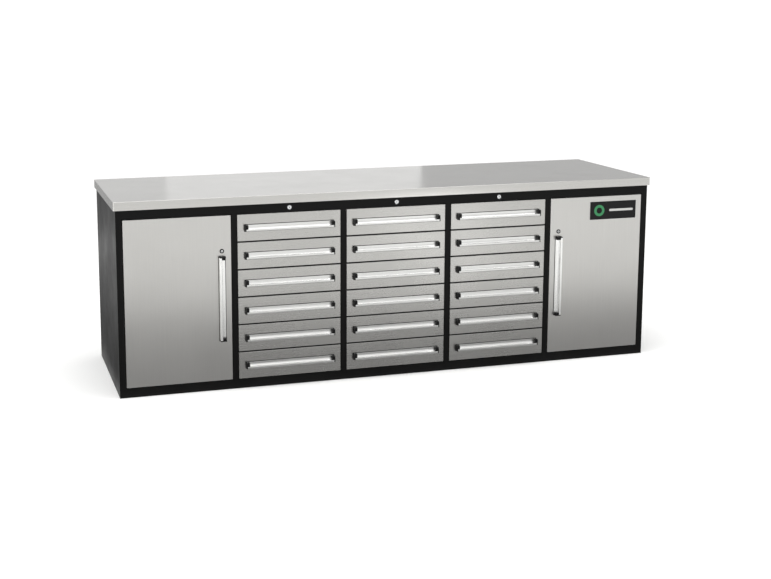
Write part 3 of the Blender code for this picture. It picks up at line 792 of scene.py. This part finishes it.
def pulled(outline, length):
    """Closes the outline into a face and pulls it to a bar along x, centred on x = 0."""
    face = bmesh.ops.contextual_create(outline, geom=outline.edges)["faces"]
    made = bmesh.ops.extrude_face_region(outline, geom=face)["geom"]
    bmesh.ops.translate(outline, vec=(length, 0, 0), verts=vertices(made))
    bmesh.ops.translate(outline, vec=(-length / 2, 0, 0), verts=outline.verts)
    bmesh.ops.recalc_face_normals(outline, faces=outline.faces)
    return outline


def pull_bar(length):
    return pulled(drawn(
        (CONTACT, HALF), (-0.0017, HALF), (-0.0017, HALF - 0.0006, 90, 4), (PLATE_FACE, SCOOP[1]),
        (*SCOOP, -106, 22), (-0.0216, -0.0060), (-0.0228, -0.0060, 180, 8), (-REACH, -0.0120),
        (-0.0205, -0.0120, 90, 7), (-0.0205, -0.0135), (-0.0179, -0.0105), (*SCOOP, 63, 12),
        (PLATE_FACE, -0.0015), (PLATE_FACE, -HALF), (CONTACT, -HALF),
    ), length)


# %% [markdown]
# A moulded cap closes each end of a pull. It has an end plate with the outline of the whole section and a
# plug that fills the scoop for 11 mm, so the lip of the extrusion passes in front of it. A thin black strip
# lies between each pull and its panel and shows as a fine dark line round the metal: painted shade, which
# stands in for the shadow along the pull's edges.

# %% Caps
CAP_CORNER = 0.0028
CAP_PLATE, CAP_PLUG = 0.0048, 0.0109
CAP_LOW, CAP_HIGH = CAP_CORNER - HALF, HALF - CAP_CORNER
CAP_FRONT = CAP_CORNER - REACH
# How far the black strip of painted shade round a pull reaches past its sides and its ends.
SHADE_OUTLINE_SIDE, SHADE_OUTLINE_END = 0.0030, 0.0062


def cap():
    """A cap for the pull's +x end, with x from the end of the extrusion."""
    plate = drawn((CONTACT, -HALF), (CONTACT, HALF), (CAP_FRONT, HALF), (CAP_FRONT, CAP_HIGH, 90, 8),
                  (-REACH, CAP_LOW), (CAP_FRONT, CAP_LOW, 90, 8))
    plate = rounded(moved(pulled(plate, CAP_PLATE), (0.0027, 0, 0)), 0.0007, 2)
    plug = drawn((-0.0026, HALF - 0.0003), (-0.0160, HALF - 0.0003), (-0.0160, HALF - 0.0053, 90, 6),
                 (-0.0210, -0.0072), (*SCOOP, 104, 16))
    return together(plate, moved(pulled(plug, CAP_PLUG), (-0.0054, 0, 0)))


CAP = mesh_of(cap(), ABS)
drawer_bar = mesh_of(pull_bar(DRAWER_PULL), ALUMINIUM)
door_bar = mesh_of(pull_bar(DOOR_PULL), LIT_ALUMINIUM_UPRIGHT)
print("pull section with", len(drawer_bar.polygons) - 2, "sides")


def set_pull(name, bar, length, body, angle=0.0):
    """A pull with its black strip of painted shade and its two caps, in its solid's place, turned by an angle
    about y.
    """
    low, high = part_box(name)
    at = Matrix.Translation(((low.x + high.x) / 2, FRONT, (low.z + high.z) / 2))
    at = at @ Matrix.Rotation(angle, 4, "Y")
    piece(name, bar, body, at, stands_for=[name])
    # A black strip behind the pull, a little larger than it: painted shade for the dark line round its edges.
    shade_outline = rounded(block((-length / 2 - SHADE_OUTLINE_END, -0.0009, -HALF - SHADE_OUTLINE_SIDE),
                           (length / 2 + SHADE_OUTLINE_END, -0.0001, HALF + SHADE_OUTLINE_SIDE)), 0.0003, 1)
    piece(name.replace("handle", "shade_outline"), mesh_of(shade_outline, ABS), body, at)
    for side, where in ((1, "a"), (-1, "b")):
        end = at @ mirrored(side) @ Matrix.Translation((length / 2, 0, 0))
        made = piece(f"{name.replace('handle', 'cap')}_{where}", CAP, body, end)
        if side < 0:
            made.data.flip_normals()


for bank, row in DRAWERS:
    set_pull(f"drawer_handle_{bank}_{row}", drawer_bar, DRAWER_PULL, f"drawer_{bank}_{row}")
for end, side in ENDS:
    set_pull(f"door_handle_{end}", door_bar, DOOR_PULL, f"door_{end}", -side * math.pi / 2)
print("twenty pulls with forty caps")

# %% [markdown]
# ## Doors
#
# A door is a stainless pan like a large drawer front. Inside it has a hat-shaped stiffener that keeps it
# flat, and it hangs on a plain pin at the top and the bottom. It shuts against two tabs with rubber buffers.

# %% Doors
HAT_INSET = 0.03
HINGE_X, HINGE_Y = 0.016, 0.007
PIN_RADIUS, PIN_LENGTH = 0.0035, 0.022
TAB_X, TAB_HALF, TAB_Y = 0.16, 0.020, 0.0222
TAB_LOW, TAB_HIGH = 0.0016, 0.016
HAT = [(-0.045, -0.0018), (-0.026, -0.0018), (-0.020, -0.0150), (0.020, -0.0150), (0.026, -0.0018),
       (0.045, -0.0018)]
swap = Matrix(((1, 0, 0, 0), (0, 0, -1, FRONT), (0, 1, 0, 0), (0, 0, 0, 1)))
for name, side in ENDS:
    body = f"door_{name}"
    low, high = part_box(body)
    middle = middle_x(body)
    low_z, high_z = OPENING_LOW + GAP, OPENING_HIGH - GAP
    pan = open_box((low.x, FRONT, low_z), (high.x, FRONT + PANEL_DEPTH, high_z), ["+Y"], PANEL_BEND)
    piece(f"door_panel_{name}", mesh_of(pan, LIT_STAINLESS_UPRIGHT), body, wall=PANEL_SHEET, stands_for=[body])
    hat = sheet_strip([(middle + x, z) for x, z in HAT], low_z + HAT_INSET, high_z - HAT_INSET)
    piece(f"door_stiffener_{name}", mesh_of(moved(hat, swap), ZINC), body, wall=PANEL_SHEET, centred=True)
    hinge = Vector((low.x + HINGE_X if side < 0 else high.x - HINGE_X, FRONT + HINGE_Y, 0))
    pins = []
    for z0, z1 in ((low.z, low.z + PIN_LENGTH), (high.z - PIN_LENGTH, high.z)):
        pin = turned([(0, 0), (0.0031, 0), (PIN_RADIUS, 0.0005), (PIN_RADIUS, z1 - z0 - 0.0005),
                      (0.0031, z1 - z0), (0, z1 - z0)], 20)
        pins.append(moved(pin, Matrix.Translation(hinge + Vector((0, 0, z0))) @ STAND_UP))
    piece(f"door_pins_{name}", mesh_of(together(*pins), ZINC), body)
    tabs, buffers = [], []
    x = middle - side * TAB_X
    for z0, z1 in ((OPENING_HIGH - TAB_HIGH, OPENING_HIGH - TAB_LOW),
                   (OPENING_LOW + TAB_LOW, OPENING_LOW + TAB_HIGH)):
        tab = block((x - TAB_HALF, FRONT + TAB_Y, z0), (x + TAB_HALF, FRONT + 0.0242, z1))
        tabs.append(rounded(tab, 0.0006, 2))
        dome = turned([(0, -0.0016), (0.0026, -0.0012), (0.0040, 0), (0, 0)], 14)
        buffers.append(moved(dome, (x, FRONT + 0.0221, (z0 + z1) / 2)))
    piece(f"door_stops_{name}", mesh_of(together(*tabs), POWDER), "cabinet")
    piece(f"door_buffers_{name}", mesh_of(together(*buffers), RUBBER), "cabinet")
print("two doors")

# %% [markdown]
# ## Locks
#
# Each lock is a chromed plug in a rose. The rose stays still and the plug turns with the key. The rose is
# turned on a lathe, so it is a profile spun about y. The plug is a ring of edges with a narrow loop for the
# keyway inside it: the two are bridged, the keyway's walls are pushed in, and a black dust shutter closes it.
# The roses of the banks are chromed. Those on the doors are black plastic and lap over the plug's rim, so
# each door lock reads as a dark ring round a bright plug.

# %% Lock parts
rose_mesh = mesh_of(turned([
    (0.0092, -0.0003), (0.0108, -0.0003), (0.0110, -0.0006), (0.0110, -0.0014), (0.0107, -0.0020),
    (0.0100, -0.0025), (0.0091, -0.0027), (0.0085, -0.0025), (0.0082, -0.0019), (0.0082, -0.0003),
    (0.0092, -0.0003)], 40), CHROME)
dark_rose_mesh = mesh_of(turned([
    (0.0092, -0.0003), (0.0112, -0.0003), (0.0112, -0.0016), (0.0106, -0.0025), (0.0096, -0.0030),
    (0.0066, -0.0030), (0.0058, -0.0027), (0.0055, -0.0022), (0.0082, -0.0021), (0.0082, -0.0003),
    (0.0092, -0.0003)], 40), ABS)
PLUG_RADIUS, PLUG_LENGTH, PLUG_FACE = 0.0079, 0.027, -0.0018
KEYWAY_RADIUS, KEYWAY_NARROW, KEYWAY_DEPTH = 0.0034, 0.6, 0.0014


def pushed_in(shape, loop, depth):
    """Pushes a loop of edges in by a depth and closes its end."""
    edges = [e for e in shape.edges if all(v in loop for v in e.verts)]
    made = bmesh.ops.extrude_edge_only(shape, edges=edges)["geom"]
    bmesh.ops.translate(shape, vec=(0, 0, -depth), verts=vertices(made))
    bmesh.ops.contextual_create(shape, geom=[e for e in made if isinstance(e, bmesh.types.BMEdge)])


def lock_plug():
    face = bmesh.new()
    rim = bmesh.ops.create_circle(face, cap_ends=False, segments=32, radius=PLUG_RADIUS)["verts"]
    slot = bmesh.ops.create_circle(face, cap_ends=False, segments=32, radius=KEYWAY_RADIUS)["verts"]
    bmesh.ops.scale(face, vec=(KEYWAY_NARROW, 1, 1), verts=slot)
    bmesh.ops.bridge_loops(face, edges=face.edges)
    pushed_in(face, slot, KEYWAY_DEPTH)
    pushed_in(face, rim, PLUG_LENGTH)
    bmesh.ops.recalc_face_normals(face, faces=face.faces)
    return moved(face, Matrix.Translation((0, PLUG_FACE, 0)) @ STAND_UP)


plug_mesh = mesh_of(lock_plug(), CHROME)
plug_mesh.materials.append(ABS)
for polygon in plug_mesh.polygons:
    x, y, z = polygon.center
    if -0.0017 < y < 0.004 and math.hypot(x, z) < 0.0036:
        polygon.material_index = 1
nut = bmesh.new()
bmesh.ops.create_cone(nut, cap_ends=True, segments=6, radius1=0.0135, radius2=0.0135, depth=0.003)
nut = moved(rounded(nut, 0.0005, 2), Matrix.Translation((0, 0.0045, 0)) @ STAND_UP)
nut_mesh = mesh_of(nut, ZINC)


def set_lock(kind, which, holder, at, rose, works_name, works):
    """A lock: its rose and nut stay on the holder, and its plug turns with the works behind it."""
    body = f"{kind}_{which}"
    piece(f"{kind}_rose_{which}", rose, holder, at)
    piece(f"{kind}_nut_{which}", nut_mesh, holder, at)
    piece(f"{kind}_plug_{which}", plug_mesh, body, at, stands_for=[body])
    piece(f"{kind}_{works_name}_{which}", works, body, at)


print("lock plug with", len(plug_mesh.polygons), "faces")

# %% Bank locks with their rods and cranks
BANK_LOCK_Z = 0.904
ROD_RADIUS = 0.0040
CRANK, CRANK_HALF = 0.0085, 0.006
CRANK_TURN = math.radians(45)
rod = turned([(0, 0.0245), (ROD_RADIUS, 0.0245), (ROD_RADIUS, 0.7375), (0, 0.7375)], 18)
arm = block((-CRANK_HALF, 0.7352, -CRANK_HALF), (CRANK + CRANK_HALF, 0.7378, CRANK_HALF))
arm = moved(rounded(arm, 0.0055, 5, "+Y"), Matrix.Rotation(CRANK_TURN, 4, "Y"))
drop = CRANK * math.sin(CRANK_TURN)
pin = turned([(0, 0.7370), (0.0030, 0.7370), (0.0030, 0.7486), (0.0025, 0.7490), (0, 0.7490)], 18)
linkage = mesh_of(together(rod, arm, moved(pin, (drop, 0, -drop))), ZINC)
for bank in BANKS:
    at = Vector((BANK_X[bank - 1], FRONT, BANK_LOCK_Z))
    set_lock("bank_lock", bank, "cabinet", at, rose_mesh, "rod", linkage)
print("three bank locks")

# %% Door locks with their cams
DOOR_LOCK_Z = 0.703
cam = rounded(block((-0.008, 0.0244, -0.061), (0.008, 0.0269, 0.008)), 0.0075, 5, "+Y")
cam_mesh = mesh_of(cam, ZINC)
for name, _ in ENDS:
    at = Vector((middle_x(f"door_lock_{name}"), FRONT, DOOR_LOCK_Z))
    set_lock("door_lock", name, f"door_{name}", at, dark_rose_mesh, "cam", cam_mesh)
print("two door locks")

# %% [markdown]
# ## The nameplate
#
# A thin aluminium plate is glued near the top corner of the right door. Its face is black lacquer with a
# bare rim. It carries only a plain green ring and a plain pale bar, printed a hair proud of the lacquer.

# %% Nameplate
PLATE_WIDTH, PLATE_HEIGHT = 0.273, 0.100
PLATE_FROM_EDGE, PLATE_FROM_TOP = 0.030, 0.026
BARE_RIM = 0.0016
RING_X, RING_INNER, RING_OUTER = 0.056, 0.016, 0.030
BAR_X0, BAR_X1, BAR_HALF = 0.114, 0.254, 0.006
right_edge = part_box("door_right")[1].x - PLATE_FROM_EDGE
top_edge = OPENING_HIGH - GAP - PLATE_FROM_TOP
left_edge, foot_edge = right_edge - PLATE_WIDTH, top_edge - PLATE_HEIGHT
middle_z = (foot_edge + top_edge) / 2


def tablet(x0, x1, z0, z1, y0, y1, corner):
    """A flat plate with round corners."""
    return rounded(block((x0, y0, z0), (x1, y1, z1)), corner, 6, "+Y")


plate = tablet(left_edge, right_edge, foot_edge, top_edge, FRONT - 0.0012, FRONT - 0.0002, 0.004)
face = tablet(left_edge + BARE_RIM, right_edge - BARE_RIM, foot_edge + BARE_RIM, top_edge - BARE_RIM,
              FRONT - 0.0014, FRONT - 0.0010, 0.003)
ring = turned([(RING_INNER, 0), (RING_INNER, -0.0003), (RING_OUTER, -0.0003), (RING_OUTER, 0),
               (RING_INNER, 0)], 48)
ring = moved(ring, (left_edge + RING_X, FRONT - 0.0013, middle_z))
bar = tablet(left_edge + BAR_X0, left_edge + BAR_X1, middle_z - BAR_HALF, middle_z + BAR_HALF,
             FRONT - 0.0016, FRONT - 0.0012, 0.0055)
for name, shape, material in (("plate", plate, ALUMINIUM), ("face", face, LACQUER),
                              ("ring", ring, GREEN_INK), ("bar", bar, PALE_INK)):
    piece(f"nameplate_{name}", mesh_of(shape, material), "door_right")
print("nameplate", round(right_edge - left_edge, 3), "by", round(top_edge - foot_edge, 3))

# %% [markdown]
# ## Floor and light
#
# The floor is a pale matt sheet that glows a little, so that it runs into the white of the room. The room
# is bright at eye level and darker overhead, with one large soft box over the bench and a wide soft sun for
# the ceiling, so that the sheet metal has something wide and even to mirror. Cards stand and lie around the
# bench, as in a product studio, and are seen only in reflections: they grade the fronts from bright to dim
# and give the long edges a contrast.

# %% Floor
WHITE = (1, 1, 1, 1)
FLOOR_GLOW = 0.12
FLOOR_HALF = 60.0


def on_stage(name, shape, material):
    """An object of the studio, which is no part of the bench."""
    made = bpy.data.objects.new(name, mesh_of(shape, material))
    SCENE.collection.objects.link(made)
    return made


paper, tree, shader = finish(
    "paper_matt_white",
    {"Base Color": srgb("#f6f6f5"), "Roughness": 0.9, "Specular IOR Level": 0.1,
     "Emission Color": WHITE, "Emission Strength": FLOOR_GLOW},
)
feed(shader, "Base Color", blend(tree, pattern(tree, 4.0, 3.0), "#f5f5f4", "#f8f8f7"))
floor = bmesh.new()
bmesh.ops.create_grid(floor, x_segments=1, y_segments=1, size=FLOOR_HALF)
bmesh.ops.translate(floor, vec=(0, 0, -0.0005), verts=floor.verts)
on_stage("floor", floor, paper)
print("floor")

# %% Reflected cards
CLOTH_Z = 0.001
SIDE_Y, BACK_Y = 2.6, 1.6


def rectangle(low, high):
    """The corners of a flat rectangle, upright or level, from its lowest corner to its highest."""
    (x0, y0, z0), (x1, y1, z1) = low, high
    if z0 == z1:
        return [(x0, y0, z0), (x1, y0, z0), (x1, y1, z0), (x0, y1, z0)]
    return [(x0, y0, z0), (x1, y1, z0), (x1, y1, z1), (x0, y0, z1)]


CARDS = (
    ("grey_cloth_front", 0.28, [(-2.8, FRONT - 1.95, CLOTH_Z), (2.9, FRONT - 1.15, CLOTH_Z),
                                (2.9, FRONT - 0.04, CLOTH_Z), (-2.8, FRONT - 0.04, CLOTH_Z)]),
    ("grey_cloth_left", 0.2, rectangle((-2.0, -0.30, CLOTH_Z), (-1.46, 3.0, CLOTH_Z))),
    ("grey_screen_left", 0.42, rectangle((-6.0, SIDE_Y, 0.25), (-1.5, SIDE_Y, 0.95))),
    ("dark_screen_left", 0.04, rectangle((-4.0, SIDE_Y, 0.95), (-1.5, SIDE_Y, 1.7))),
    ("bright_screen_left", 3.0, rectangle((-4.5, -2.6, 0.0), (-4.5, -0.3, 2.2))),
    ("pale_screen_back", 0.8, rectangle((-3.0, BACK_Y, 0.9), (-0.85, BACK_Y, 2.4))),
    ("grey_screen_back", 0.6, rectangle((0.888, BACK_Y, 0.9), (5.0, BACK_Y, 2.4))),
    ("bright_patch_front", 2.6, rectangle((1.1, FRONT - 3.9, 0.002), (1.9, FRONT - 2.7, 0.002))),
)
for name, glow, corners in CARDS:
    fabric, tree, shader = finish(
        name, {"Base Color": srgb("#000000"), "Roughness": 1.0, "Emission Color": WHITE,
               "Emission Strength": glow}
    )
    card = bmesh.new()
    bmesh.ops.contextual_create(card, geom=[card.verts.new(corner) for corner in corners])
    card_object = on_stage(name, card, fabric)
    for ray in ("camera", "diffuse", "shadow", "transmission", "volume_scatter"):
        setattr(card_object, f"visible_{ray}", False)
print("cards")

# %% Light
AT_EYE_LEVEL, OVERHEAD = (1.1, 1.1, 1.1, 1.0), (0.42, 0.42, 0.42, 1.0)
room = bpy.data.worlds.new("pale_room")
room.use_nodes = True
tree = room.node_tree
place = add(tree, "ShaderNodeTexCoord")
direction = add(tree, "ShaderNodeSeparateXYZ", {"Vector": place.outputs["Generated"]})
height = spread(tree, direction.outputs["Z"], 0.0, 1.0, 0.06, 0.7)
wall = add(tree, "ShaderNodeMix", {0: height, 6: AT_EYE_LEVEL, 7: OVERHEAD}, data_type="RGBA")
tree.links.new(wall.outputs[2], tree.nodes["Background"].inputs["Color"])
tree.nodes["Background"].inputs["Strength"].default_value = 1.0
SCENE.world = room
SCENE.view_settings.view_transform = "Standard"


def lamp(name, kind, power, place=(0, 0, 0), turn=(0, 0, 0), **settings):
    """A lamp with its kind, power, place and turn, and the settings of its shape."""
    light = bpy.data.lights.new(name, kind)
    light.energy = power
    for setting, value in settings.items():
        setattr(light, setting, value)
    made = bpy.data.objects.new(name, light)
    made.location = place
    made.rotation_euler = turn
    SCENE.collection.objects.link(made)


BOX_PLACE, BOX_AIM = Vector((0.0, -0.4, 4.0)), Vector((0, 0, 0.5))
lamp("overhead", "AREA", 90.0, BOX_PLACE, (BOX_AIM - BOX_PLACE).to_track_quat("-Z", "Y").to_euler(),
     shape="RECTANGLE", size=5.0, size_y=1.6)
lamp("ceiling", "SUN", 1.6, turn=(math.radians(20), math.radians(-15), 0), angle=math.radians(100))
print("room, ceiling and soft box")
